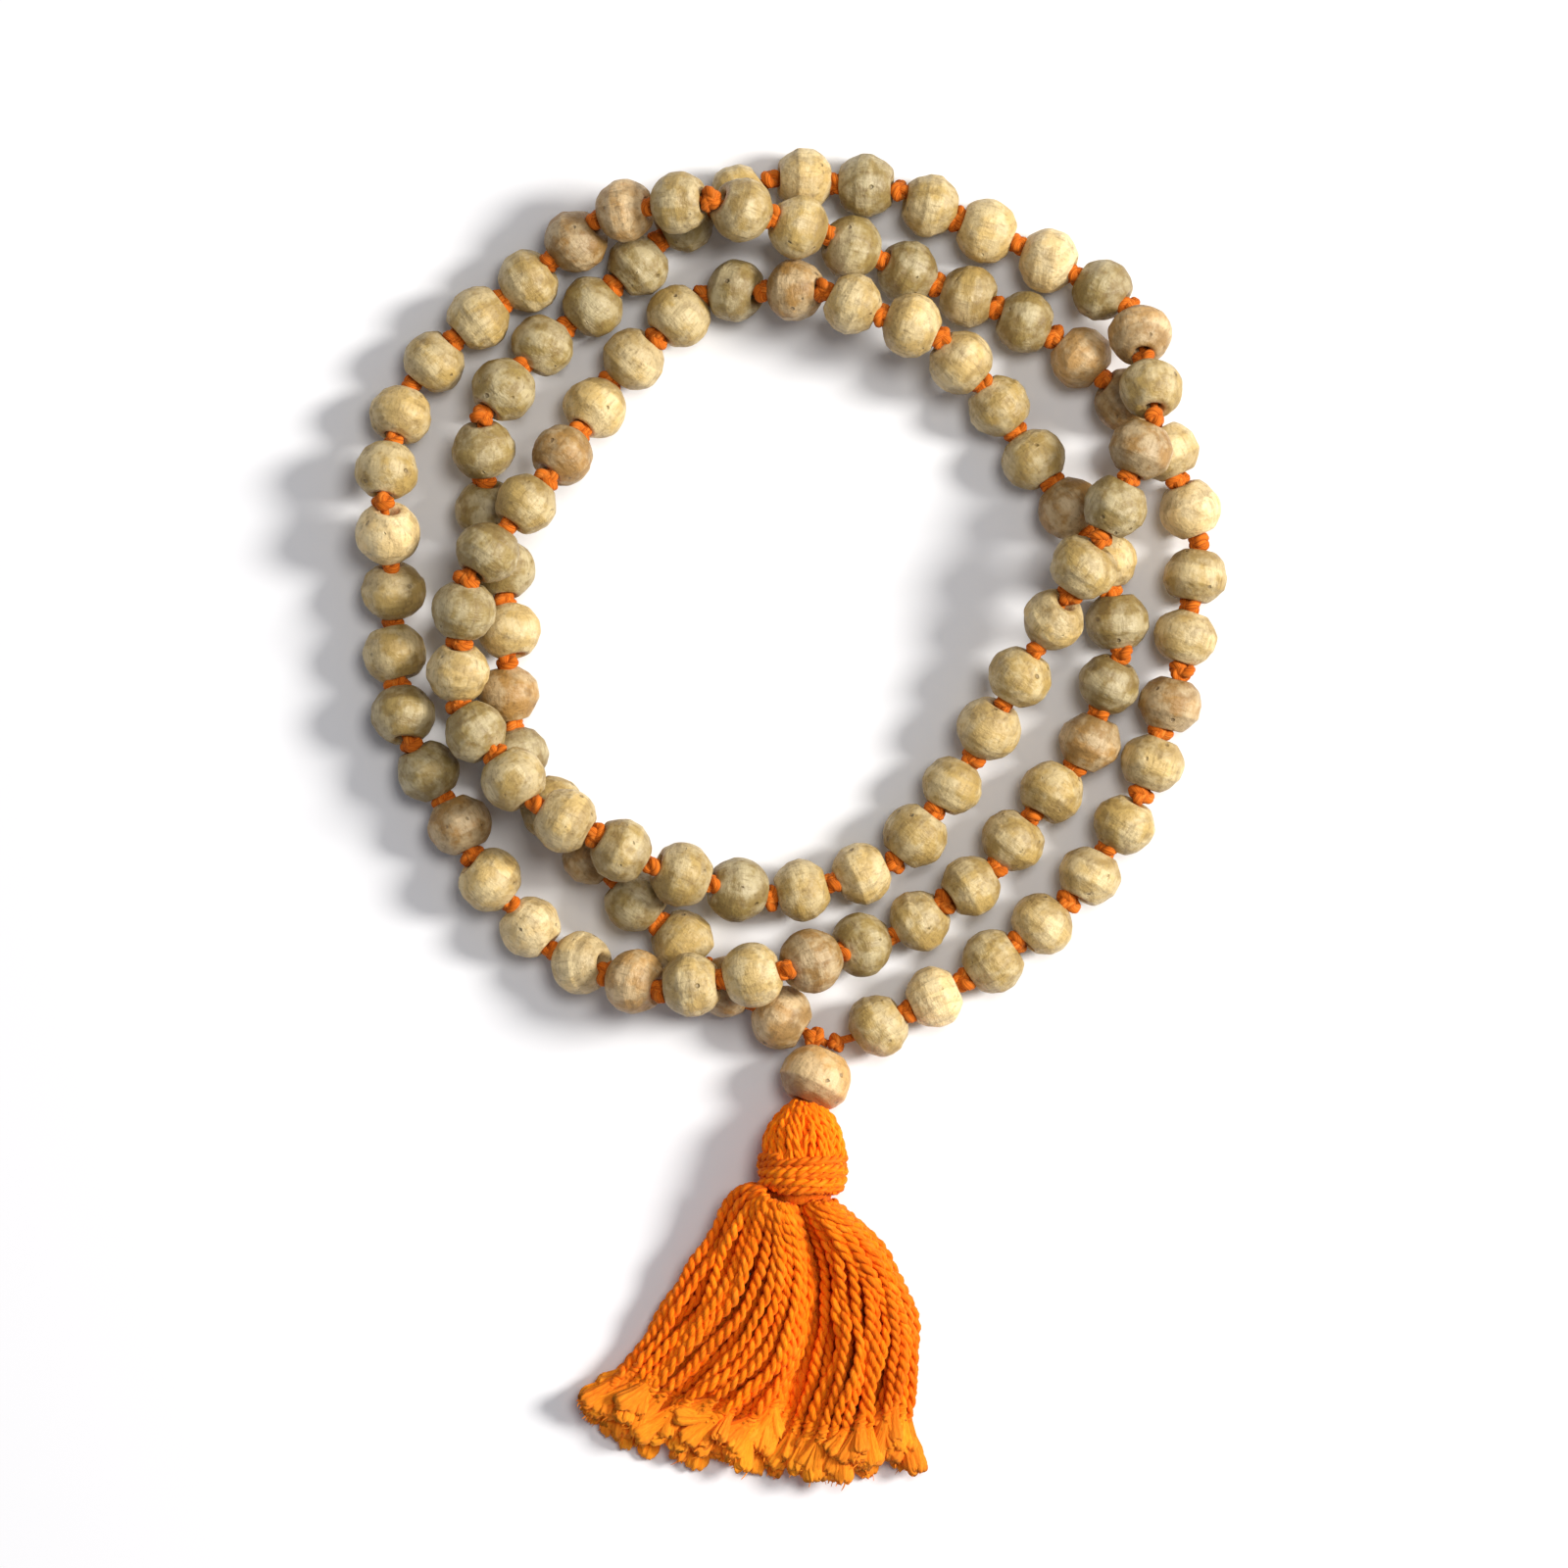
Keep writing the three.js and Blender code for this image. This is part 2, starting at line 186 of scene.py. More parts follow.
class Soup:
    """Points, quads and named values of one mesh, gathered tube by tube."""

    def __init__(self):
        self.points, self.quads, self.values, self.count = [], [], {}, 0

    def add(self, points, quads, **values):
        self.points.append(points)
        self.quads.append(quads + self.count)
        self.count += len(points)
        for name, value in values.items():
            self.values.setdefault(name, []).append(np.asarray(value, np.float32))

    def tube(self, path, radius, sides=8, lean=0.0, tint=(1, 1, 1), fray=0.0, lobes=0, lobe_turn=1.0):
        """A closed tube. `lean` is how many turns its fibres make per millimetre. With lobes it is a rope
        of that many plies, which go round once in lobe_turn millimetres."""
        along, a, b = ring_frames(path)
        s = lengths(path)
        radius = np.broadcast_to(radius, len(path))
        angle = np.linspace(0, 2 * math.pi, sides, endpoint=False)
        out = np.cos(angle)[None, :, None] * a[:, None] + np.sin(angle)[None, :, None] * b[:, None]
        around = angle[None, :] + 2 * math.pi * s[:, None] / lobe_turn
        bulge = 1 + (LOBE_DEPTH * (np.abs(np.cos(lobes / 2 * around)) - 0.64) if lobes else 0)
        points = path[:, None] + out * (radius[:, None] * bulge)[..., None]
        fibre_angle = angle[None, :] + 2 * math.pi * lean * s[:, None]
        if lobes:
            fibre_angle = around
        start = np.random.default_rng(self.count).uniform(0, 400)
        fibre = np.stack(
            [
                np.cos(fibre_angle) * radius[:, None],
                np.sin(fibre_angle) * radius[:, None],
                np.broadcast_to(s[:, None] + start, fibre_angle.shape),
            ],
            axis=-1,
        )
        n = len(path)
        quads = np.vstack(
            [
                grid_quads(n, sides),
                cap_quads(0, sides, True),
                cap_quads((n - 1) * sides, sides, False),
            ]
        )
        self.add(
            points.reshape(-1, 3),
            quads,
            fibre=fibre.reshape(-1, 3),
            tint=np.broadcast_to(np.append(tint, 1), (n * sides, 4)),
            fray=np.broadcast_to(np.broadcast_to(fray, n)[:, None], (n, sides)).reshape(-1),
        )

    def tuft(self, spine, radius, rng, tint):
        """A brush of cotton round a spine: flattened, grooved along its fibres and ragged at its far end."""
        along, a, b = ring_frames(spine)
        angle = np.linspace(0, 2 * math.pi, TUFT_SIDES, endpoint=False)[None]
        t = np.linspace(0, 1, len(spine))[:, None]
        grooves, teeth = np.zeros((len(spine), TUFT_SIDES)), np.zeros((1, TUFT_SIDES))
        for order in (2, 3, 5, 7, 9, 12, 15):
            phase = rng.uniform(0, 6.28) + rng.uniform(-1.5, 1.5) * t
            grooves += np.cos(angle * order + phase) * rng.uniform(0.5, 1.2)
            teeth += np.cos(angle * order + rng.uniform(0, 6.28))
        reach = radius[:, None] * (1 + GROOVE_DEPTH * grooves * np.minimum(1, 3 * t))
        out = np.cos(angle)[..., None] * a[:, None] + np.sin(angle)[..., None] * b[:, None]
        out[..., 2] *= TUFT_HEIGHT
        late = np.maximum(t - ROUGH_FROM, 0) / (1 - ROUGH_FROM)
        end_push = late * teeth * RAGGEDNESS / 3 * np.minimum(1, radius[:, None])
        points = spine[:, None] + out * reach[..., None] + along[:, None] * end_push[..., None]
        points[..., 2] = np.maximum(points[..., 2], 0.05)
        far = lengths(spine)[:, None] + rng.uniform(0, 400)
        fibre = np.stack([np.cos(angle) * reach, np.sin(angle) * reach, far + 0 * reach], axis=-1)
        n = len(spine)
        quads = [
            grid_quads(n, TUFT_SIDES),
            cap_quads(0, TUFT_SIDES, True),
            cap_quads((n - 1) * TUFT_SIDES, TUFT_SIDES, False),
        ]
        self.add(
            points.reshape(-1, 3),
            np.vstack(quads),
            fibre=fibre.reshape(-1, 3),
            tint=np.broadcast_to(np.append(tint, 1), (n * TUFT_SIDES, 4)),
            fray=np.broadcast_to(np.minimum(1, 0.2 + t), (n, TUFT_SIDES)).reshape(-1),
        )

    def build(self, name, material):
        points = np.vstack(self.points) * MM
        quads = np.vstack(self.quads).astype(np.int32)
        mesh = bpy.data.meshes.new(name)
        mesh.vertices.add(len(points))
        mesh.vertices.foreach_set("co", points.astype(np.float32).ravel())
        mesh.loops.add(quads.size)
        mesh.loops.foreach_set("vertex_index", quads.ravel())
        mesh.polygons.add(len(quads))
        mesh.polygons.foreach_set("loop_start", np.arange(0, quads.size, 4, dtype=np.int32))
        mesh.update(calc_edges=True)
        mesh.validate()
        kinds = {1: ("FLOAT", "value"), 3: ("FLOAT_VECTOR", "vector"), 4: ("FLOAT_COLOR", "color")}
        for value_name, parts in self.values.items():
            whole = np.concatenate(parts)
            kind, field = kinds[1 if whole.ndim == 1 else whole.shape[1]]
            attribute = mesh.attributes.new(value_name, kind, "POINT")
            attribute.data.foreach_set(field, whole.ravel())
        mesh.polygons.foreach_set("use_smooth", np.full(len(quads), True))
        mesh.materials.append(material)
        piece = bpy.data.objects.new(name, mesh)
        bpy.context.scene.collection.objects.link(piece)
        return piece


# ---- Material helpers -----------------------------------------------------------------------------


class Nodes:
    """A short way to write a material's nodes."""

    def __init__(self, name):
        self.material = bpy.data.materials.new(name)
        self.material.use_nodes = True
        self.tree = self.material.node_tree
        self.shader = self.tree.nodes["Principled BSDF"]

    def node(self, kind, settings=None, **inputs):
        made = self.tree.nodes.new("ShaderNode" + kind)
        for key, value in (settings or {}).items():
            setattr(made, key, value)
        for key, value in inputs.items():
            self.feed(made.inputs[key.replace("_", " ")], value)
        return made

    def feed(self, socket, value):
        if isinstance(value, bpy.types.NodeSocket):
            self.tree.links.new(value, socket)
        else:
            socket.default_value = value

    def value(self, name, field="Vector"):
        return self.node("Attribute", {"attribute_name": name}).outputs[field]

    def math(self, operation, a, b=0.0, clamp=False):
        made = self.node("Math", {"operation": operation, "use_clamp": clamp})
        self.feed(made.inputs[0], a)
        self.feed(made.inputs[1], b)
        return made.outputs[0]

    def vector(self, operation, a, b):
        made = self.node("VectorMath", {"operation": operation})
        self.feed(made.inputs[0], a)
        self.feed(made.inputs[1], b)
        return made.outputs[0]

    def mix(self, a, b, share, blend="MIX"):
        made = self.node("MixRGB", {"blend_type": blend})
        self.feed(made.inputs["Color1"], a)
        self.feed(made.inputs["Color2"], b)
        self.feed(made.inputs["Fac"], share)
        return made.outputs[0]

    def steps(self, value, low, high, out_low=0.0, out_high=1.0):
        """`value` from low..high to out_low..out_high, and no further."""
        made = self.node("MapRange", {"interpolation_type": "SMOOTHSTEP"}, Value=value)
        for key, number in zip(("From Min", "From Max", "To Min", "To Max"), (low, high, out_low, out_high)):
            made.inputs[key].default_value = number
        return made.outputs[0]

    def noise(self, at, scale, detail=3.0, rough=0.55):
        return self.node("TexNoise", None, Vector=at, Scale=scale, Detail=detail, Roughness=rough).outputs[0]

    def bump(self, height, strength, distance, under=None):
        made = self.node("Bump", None, Strength=strength, Distance=distance, Height=height)
        if under is not None:
            self.feed(made.inputs["Normal"], under)
        return made.outputs[0]


def colour(r, g, b):
    return (r, g, b, 1)


# ---- Materials ------------------------------------------------------------------------------------


def wood_material(name, dark, end_shade_colour, end_shade_share):
    """Turned wood. The bead's own colour is the mesh value `tone`; `grain` is the place in the wood, with its
    fibres along Z, and `end` goes from 0 on the band to 1 at the hollow of the bore. Towards the ends the
    colour is darkened as painted shade on the shoulders and ends, by a random amount on each side."""
    n = Nodes(name)
    grain = n.value("grain")
    tone = n.value("tone", "Color")
    end = n.value("end", "Fac")
    along_fibres = n.vector("MULTIPLY", grain, (2.6, 2.6, 0.55))
    fibres = n.noise(along_fibres, 1.0, 6.0, 0.66)
    from_pith = n.vector("MULTIPLY", grain, (1, 1, 0.05))
    rings = n.node(
        "TexWave",
        {"wave_type": "RINGS", "rings_direction": "Z", "wave_profile": "SAW"},
        Vector=from_pith,
        Scale=0.2,
        Distortion=6.0,
        Detail=3.0,
        Detail_Scale=0.8,
    ).outputs["Fac"]
    patches = n.noise(grain, 0.33, 3.0, 0.6)
    stains = n.noise(n.vector("ADD", grain, (31.0, 7.0, 3.0)), 0.55, 4.0, 0.62)
    rough_cut = n.noise(n.vector("MULTIPLY", grain, (1.1, 1.1, 2.2)), 1.0, 4.0, 0.6)
    specks = n.node("TexVoronoi", {"feature": "F1"}, Vector=grain, Scale=0.5).outputs["Distance"]
    chosen = n.noise(grain, 0.75, 0.0)
    pits = n.math("MULTIPLY", n.steps(specks, 0.08, 0.2, 1.0, 0.0), n.steps(chosen, 0.61, 0.65))
    pale = n.mix(tone, colour(1.0, 0.90, 0.60), 0.30)
    shown = n.mix(tone, pale, n.steps(patches, 0.40, 0.60))
    shown = n.mix(shown, dark, n.steps(stains, 0.50, 0.72, 0.0, 0.42))
    shown = n.mix(shown, dark, n.steps(fibres, 0.48, 0.74, 0.0, 0.55))
    shown = n.mix(shown, dark, n.math("MULTIPLY", n.steps(rings, 0.45, 1.0), 0.22))
    # Painted shade: the shoulders and ends are darkened towards the end colour, so the band stands out
    # lighter.
    end_shade = n.math("MULTIPLY", end, end_shade_share)
    shown = n.mix(shown, end_shade_colour, n.math("MULTIPLY", end_shade, n.steps(patches, 0.3, 0.62, 1.0, 0.6)))
    shown = n.mix(shown, colour(0.10, 0.055, 0.02), n.math("MULTIPLY", pits, 0.5))
    n.feed(n.shader.inputs["Base Color"], shown)
    n.feed(n.shader.inputs["Roughness"], n.steps(fibres, 0.3, 0.75, 0.40, 0.62))
    n.shader.inputs["Specular IOR Level"].default_value = 0.5
    normal = n.bump(rough_cut, 0.55, 0.35 * MM)
    normal = n.bump(fibres, 0.5, 0.12 * MM, normal)
    normal = n.bump(n.math("SUBTRACT", 1.0, pits), 0.9, 0.22 * MM, normal)
    n.feed(n.shader.inputs["Normal"], normal)
    return n.material


def cotton_material(name, deep, bright, pale):
    """Twisted cotton. `fibre` is the place in the ply, its fibres along Z. `fray` is 1 where it has come
    undone."""
    n = Nodes(name)
    fibre = n.value("fibre")
    tint = n.value("tint", "Color")
    fray = n.value("fray", "Fac")
    strands = n.noise(n.vector("MULTIPLY", fibre, (7, 7, 0.9)), 1.0, 4.0, 0.6)
    slubs = n.noise(n.vector("MULTIPLY", fibre, (1.2, 1.2, 0.35)), 1.0, 2.0)
    shown = n.mix(deep, bright, n.steps(strands, 0.32, 0.66))
    shown = n.mix(shown, pale, n.math("MULTIPLY", n.steps(slubs, 0.5, 0.75), 0.28))
    shown = n.mix(shown, pale, n.math("MULTIPLY", fray, 0.4))
    shown = n.mix(shown, tint, 1.0, "MULTIPLY")
    n.feed(n.shader.inputs["Base Color"], shown)
    n.feed(n.shader.inputs["Roughness"], n.steps(strands, 0.3, 0.7, 0.95, 0.72))
    n.shader.inputs["Specular IOR Level"].default_value = 0.18
    n.shader.inputs["Sheen Weight"].default_value = 0.06
    n.shader.inputs["Sheen Roughness"].default_value = 0.45
    n.shader.inputs["Sheen Tint"].default_value = colour(1.0, 0.72, 0.42)
    normal = n.bump(strands, 0.8, 0.09 * MM)
    n.feed(n.shader.inputs["Normal"], normal)
    return n.material


# The third colour of each wood is painted shade for the bead's ends; the guru's is laid on at full strength.
bead_wood = wood_material("bead_wood", colour(0.15, 0.08, 0.02), colour(0.17, 0.10, 0.03), 0.62)
guru_wood = wood_material("guru_wood", colour(0.22, 0.12, 0.035), colour(0.24, 0.10, 0.035), 1.0)
thread_cotton = cotton_material(
    "thread_cotton", colour(0.34, 0.06, 0.002), colour(0.75, 0.18, 0.01), colour(0.95, 0.38, 0.07)
)
tassel_cotton = cotton_material(
    "tassel_cotton", colour(0.78, 0.11, 0.0), colour(1.0, 0.235, 0.0), colour(1.0, 0.42, 0.03)
)

# ---- Where the beads are --------------------------------------------------------------------------


def pair_places():
    """Each pair's body, middle and thread direction, in order along the thread."""
    found = []
    for joint in frame["joints"]:
        if joint["name"].startswith("pair_"):
            found.append((joint["child"], in_mm(joint["pos_m"]), unit(np.array(joint["axis"], float))))
    return found


pairs = pair_places()
crotch = in_mm(joints["pendant_lift"]["pos_m"])

# ---- The thread -----------------------------------------------------------------------------------


def thread_route():
    """The crotch, then both mouths of each bead, and back to the crotch."""
    points = [crotch]
    for _, middle, along in pairs:
        for side in (-1, 1):
            bead = middle + along * side * PITCH / 2
            points += [bead - along * BEAD["half"] * 0.9, bead, bead + along * BEAD["half"] * 0.9]
    return np.array([*points, crotch])


def make_thread():
    route = resample(thread_route(), 0.9)
    soup = Soup()
    soup.tube(route, CORD_RADIUS, sides=12, lobes=3, lobe_turn=-3.0)
    piece = soup.build("thread_cord", thread_cotton)
    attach(piece, "thread")
    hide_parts("thread")


make_thread()

# ---- Beads ----------------------------------------------------------------------------------------

TONES = {
    "w": colour(0.84, 0.61, 0.27),  # pale cream
    "c": colour(0.67, 0.465, 0.168),  # cream
    "k": colour(0.51, 0.345, 0.107),  # khaki
    "o": colour(0.345, 0.24, 0.074),  # olive
    "b": colour(0.42, 0.23, 0.064),  # brown
    "p": colour(0.57, 0.33, 0.112),  # pinkish brown
}
# The colour of each bead in order along the thread, ten to a word.
BEAD_TONES = (
    "kwkcckcbck wcbpokookk kpbkkkckwk koobcwwpcc bokkkkbooc bkkcccbokc cbkoocokck kokckkckck"
    " obkpowckoc kooooooooc bokbokbp"
).replace(" ", "")
WIDE_BEAD = 80  # the one bead that is clearly wider than the others
WIDE_SCALE = 1.07
GURU_TONE = colour(0.67, 0.39, 0.13)

PROFILE_POINTS = 84
PROFILE_ROUNDING = 5  # times that the profile is smoothed
HOLLOW_DEPTH = 1.4  # how far the profile goes back into the bore
MOST_LEDGE = 0.2  # the step beside the band, where the tool was set anew
SLANT = 0.11  # how askew a bead may sit on the thread
FLATS = {"least": 2, "most": 5, "shallow": 0.05, "deep": 0.26}  # worn flats on one bead
LUMPS = {"across": 4.5, "high": 0.06}
RIPPLES = {"across": 1.3, "high": 0.012}


def bead_profile(size, rng):
    """Radius and height round one side of a bead: out of the bore, over the outside and back in."""
    widest = size["radius"]
    sides = []
    for side in (-1, 1):
        half = size["half"] * rng.uniform(0.95, 1.0)
        face = size["face"] * rng.uniform(0.88, 1.12)
        shoulder = widest * rng.uniform(0.5, 0.62)
        band = size["band"] * rng.uniform(0.6, 1.35)
        ledge = MOST_LEDGE * rng.uniform() ** 2
        round_at_shoulder = math.sqrt(widest**2 - shoulder**2)
        one = [
            (size["bore"], half - HOLLOW_DEPTH),
            (size["bore"] * 1.05, half - 0.9),
            (size["mouth"] * rng.uniform(0.9, 1.05), half - 0.18),
            (size["mouth"] + 0.14, half - 0.03),
            (face, half),
            (round_at_shoulder * rng.uniform(0.97, 1.01) - 0.5 * ledge, shoulder),
            (widest * 0.985 - ledge, band + 0.12),
            (widest * 0.995, band),
        ]
        sides.append([(r, side * z) for r, z in one])
    outline = np.array([*sides[0], (widest, 0.0), *sides[1][::-1]])
    s = lengths(outline)
    at = np.linspace(0, s[-1], PROFILE_POINTS)
    fine = np.column_stack([np.interp(at, s, outline[:, k]) for k in range(2)])
    for _ in range(PROFILE_ROUNDING):
        fine[1:-1] = 0.2 * fine[:-2] + 0.6 * fine[1:-1] + 0.2 * fine[2:]
    return fine


def rotation_between(along):
    """A matrix whose third column is `along`."""
    a, b = side_frame(along)
    return np.column_stack([a, b, along])


def waves(points, rng, size, amount, count=5):
    """A smooth random height at each point, for lumps about `size` across."""
    height = np.zeros(len(points))
    for _ in range(count):
        direction = unit(rng.normal(size=3)) * rng.uniform(0.6, 1.4) * 2 * math.pi / size
        height += np.sin(points @ direction + rng.uniform(0, 6.28))
    return height * amount / math.sqrt(count)


def bead_shape(size, seed, dark_ends):
    """A bead's points about its own middle, bore along Z, with each point's share of the way to the bore."""
    rng = np.random.default_rng(seed)
    profile = bead_profile(size, rng)
    angle = np.linspace(0, 2 * math.pi, BEAD_SIDES, endpoint=False)
    r = np.repeat(profile[:, 0], BEAD_SIDES)
    z = np.repeat(profile[:, 1], BEAD_SIDES)
    angle = np.tile(angle, len(profile))
    points = np.column_stack([r * np.cos(angle), r * np.sin(angle), z])
    outer = np.clip(r - size["mouth"], 0, 1)
    end = np.clip((np.abs(z) - size["band"]) / (size["half"] - size["band"]), 0, 1)
    # Painted shade: how strongly each end of the bead is darkened, a random share for each side unless given.
    if dark_ends is None:
        dark_ends = rng.uniform(0, 1, 2) ** 1.2
    share = np.where(z < 0, *dark_ends)
    end = np.clip(end * 9 - 0.3, 0, 1) * share * (0.75 + 0.25 * end)
    points[:, 0] *= 1 + rng.uniform(-0.02, 0.015)
    points[:, 2] += points[:, 0] * rng.uniform(-0.05, 0.05) * end
    lumps = waves(points, rng, LUMPS["across"], LUMPS["high"])
    points += unit(points) * (lumps * outer)[:, None]
    for _ in range(rng.integers(FLATS["least"], FLATS["most"] + 1)):
        away = unit(rng.normal(size=3) * (1, 1, 0.7))
        depth = (points @ away).max() - rng.uniform(FLATS["shallow"], FLATS["deep"])
        over = np.maximum(points @ away - depth, 0) * outer
        points -= over[:, None] * away * 0.95
    ripples = waves(points, rng, RIPPLES["across"], RIPPLES["high"], 9)
    points += unit(points) * (ripples * outer)[:, None]
    points *= rng.uniform(0.965, 1.03)
    far = np.linalg.norm(points, axis=1)
    points *= np.minimum(1, size["reach"] / far)[:, None]
    return points, end, rng


def make_bead(name, size, seed, tone, middle, along, material, body, node, dark_ends=None):
    points, end, rng = bead_shape(size, seed, dark_ends)
    rows = len(points) // BEAD_SIDES
    turn = rotation_between(unit(along + rng.normal(size=3) * SLANT))
    soup = Soup()
    quads = grid_quads(rows, BEAD_SIDES)
    ring = np.arange(BEAD_SIDES)
    ring_on = (ring + 1) % BEAD_SIDES
    last = (rows - 1) * BEAD_SIDES
    closing = np.stack([last + ring, last + ring_on, ring_on, ring], axis=-1)
    pith = rng.uniform(-3, 3, 3) * (1, 1, 20)
    shade = rng.uniform(0.9, 1.08)
    soup.add(
        middle + points @ turn.T,
        np.vstack([quads, closing]),
        grain=points + pith,
        tone=np.broadcast_to(np.append(np.array(tone[:3]) * shade, 1), (len(points), 4)),
        end=end,
    )
    piece = soup.build(name, material)
    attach(piece, body)
    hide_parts(node)
    return piece


def make_beads():
    for k, (body, middle, along) in enumerate(pairs):
        for half, side in enumerate((-1, 1)):
            number = 2 * k + half + 1
            scale = WIDE_SCALE if number == WIDE_BEAD else 1
            make_bead(
                f"bead_{number:03d}",
                {**BEAD, "radius": BEAD["radius"] * scale, "reach": BEAD["reach"] * scale},
                1000 + number,
                TONES[BEAD_TONES[number - 1]],
                middle + along * side * PITCH / 2,
                along,
                bead_wood,
                body,
                body.replace("pair", "bead_pair"),
            )


make_beads()

# ---- Knots ----------------------------------------------------------------------------------------

KNOT_RADIUS = 1.72
KNOT_LENGTH = 2.9
KNOT_CORD = 0.64  # the cord is thicker where it is pulled into a knot
KNOT_CORE = 1.12  # radius of the filling that closes the knot's middle
KNOT_RISE = 0.55  # how far a knot sits above the thread's own line
KNOT_OFFSET = 0.2  # and to one side of it
CROTCH_KNOTS = {"first": (0.72, 0.78), "last": (0.42, 0.97)}  # share of the way to the crotch, size


def knot_path():
    """An overhand knot pulled tight, about the origin, its thread along Z."""
    t = np.linspace(0, 2 * math.pi, 64)
    x = np.sin(t) + 2 * np.sin(2 * t)
    y = np.cos(t) - 2 * np.cos(2 * t)
    lift = -np.sin(3 * t)
    path = np.column_stack([x, lift * 1.25, y])
    path *= (KNOT_RADIUS - KNOT_CORD) / 2.7
    path[:, 2] *= (KNOT_LENGTH / 2 - KNOT_CORD) / np.abs(path[:, 2]).max()
    return path


def make_knot(name, middle, along, seed, body, size=1.0):
    rng = np.random.default_rng(seed)
    a, b = side_frame(along)
    spin = rng.uniform(0, 2 * math.pi)
    c = a * math.cos(spin) + b * math.sin(spin)
    d = np.cross(along, c)
    turn = np.column_stack([c, d, along])
    upward = np.array([0, 0, 1.0]) - along * along[2]
    middle = middle + (upward * KNOT_RISE + c * KNOT_OFFSET) * size
    stretch = size * rng.uniform(0.9, 1.1, 3)
    path = middle + (knot_path() * stretch) @ turn.T
    soup = Soup()
    soup.tube(path, KNOT_CORD * size, sides=18, lobes=3, lobe_turn=-2.8)
    t = np.linspace(-1, 1, 9)
    soup.tube(middle + along * t[:, None] * size, size * KNOT_CORE * np.sqrt(1.05 - t**2), sides=16)
    piece = soup.build(name, thread_cotton)
    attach(piece, body)
    return piece


def make_knots():
    for k, (body, middle, along) in enumerate(pairs):
        make_knot(f"knot_{2 * k + 1:03d}", middle, along, 3000 + 2 * k, body)
        if k + 1 < len(pairs):
            _, next_middle, next_along = pairs[k + 1]
            leave = middle + along * (PITCH / 2 + BEAD["half"])
            enter = next_middle - next_along * (PITCH / 2 + BEAD["half"])
            make_knot(
                f"knot_{2 * k + 2:03d}", (leave + enter) / 2, unit(along + next_along), 3001 + 2 * k, "thread"
            )
    first, last = pairs[0], pairs[-1]
    first_mouth = first[1] - first[2] * (PITCH / 2 + BEAD["half"])
    last_mouth = last[1] + last[2] * (PITCH / 2 + BEAD["half"])
    share, size = CROTCH_KNOTS["first"]
    make_knot("knot_000", first_mouth + (crotch - first_mouth) * share, first[2], 2998, "thread", size)
    share, size = CROTCH_KNOTS["last"]
    make_knot("knot_108", last_mouth + (crotch - last_mouth) * share, last[2], 2999, "thread", size)


make_knots()

# ---- Guru bead ------------------------------------------------------------------------------------

neck = in_mm(joints["skirt_left_fan"]["pos_m"])
guru_mouth = in_mm(joints["tassel_sway"]["pos_m"])
guru_down = unit(guru_mouth - crotch)
guru_middle = guru_mouth - guru_down * (GURU["half"] - 0.1)

make_bead(
    "guru_bead_turned",
    GURU,
    77,
    GURU_TONE,
    guru_middle,
    guru_down,
    guru_wood,
    "guru",
    "guru_bead",
    # Painted shade: the guru's end towards the tassel, turned from the light, is painted far darker than the
    # end towards the crotch.
    dark_ends=(0.1, 0.9),
)

# ---- Tassel ---------------------------------------------------------------------------------------

HEAD_LENGTH = 12.4
NECK_BELOW_HEAD = 0.3
YARN_PLY = 0.4  # radius of one of a yarn's two plies
HEAD_PLY = 0.29  # the same on the head
BINDING_PLY = 0.34
POINT_STEP = 0.32  # between two points of a yarn on the head or in the binding
BINDINGS = [(7.0, 11.6, 5), (8.1, 10.9, 2)]  # below the head's top: start, end, and turns between them

head_down = unit((neck - guru_mouth) * (1, 1, 0))
head_top = neck - head_down * (HEAD_LENGTH + NECK_BELOW_HEAD)
head_right = np.cross(head_down, (0, 0, 1.0)) * -1


def yarn(soup, path, ply=YARN_PLY, turn=PLY_TURN, seed=0, tint=(1, 1, 1), open_end=0.0):
    """Two plies twisted together along a path. Over the last open_end millimetres they part."""
    rng = np.random.default_rng(seed)
    along, a, b = ring_frames(path)
    s = lengths(path)
    start = rng.uniform(0, 2 * math.pi)
    turn, ply = turn * rng.uniform(0.85, 1.25), ply * rng.uniform(0.9, 1.08)
    wobble = 1 + 0.10 * np.sin(s * rng.uniform(0.5, 0.9) + rng.uniform(0, 6))
    opened = np.clip((s - (s[-1] - open_end)) / max(open_end, 1e-6), 0, 1) if open_end else 0 * s
    for k in range(2):
        angle = start + math.pi * k + 2 * math.pi * s / turn * (1 - 0.3 * opened)
        out = np.cos(angle)[:, None] * a + np.sin(angle)[:, None] * b
        line = path + out * (ply * 0.86 * wobble * (1 + 0.8 * opened))[:, None]
        thick = ply * wobble * (1 - 0.35 * opened)
        soup.tube(line, thick, lean=-0.25, tint=tint, fray=opened * 0.8)


def head_radius(y):
    """Radius of the head's surface y millimetres below its top."""
    ys = [0, 0.3, 1.2, 2.2, 3.3, 4.6, 6.2, 8, 10.6, 11.8, 12.8]
    rs = [1.3, 2.1, 3.0, 3.9, 4.7, 5.2, 5.45, 5.4, 5.25, 5.0, 4.7]
    return np.interp(y, ys, rs)


def on_head(y, angle, above=0.0):
    """Places y below the head's top and `angle` round its axis, `above` its surface."""
    r = head_radius(y) + above
    side = head_right[None] * np.cos(angle)[:, None] + np.array([[0, 0, 1.0]]) * np.sin(angle)[:, None]
    return head_top + head_down * y[:, None] + side * r[:, None]


# Painted light: a gain above 1 gives a lighter copy of the same yarn, standing in for stronger light on that
# part.
def yarn_tint(rng, painted_light_gain=1.0):
    light = rng.uniform(0.9, 1.08) * painted_light_gain
    return (light, light * rng.uniform(0.9, 1.1), light)


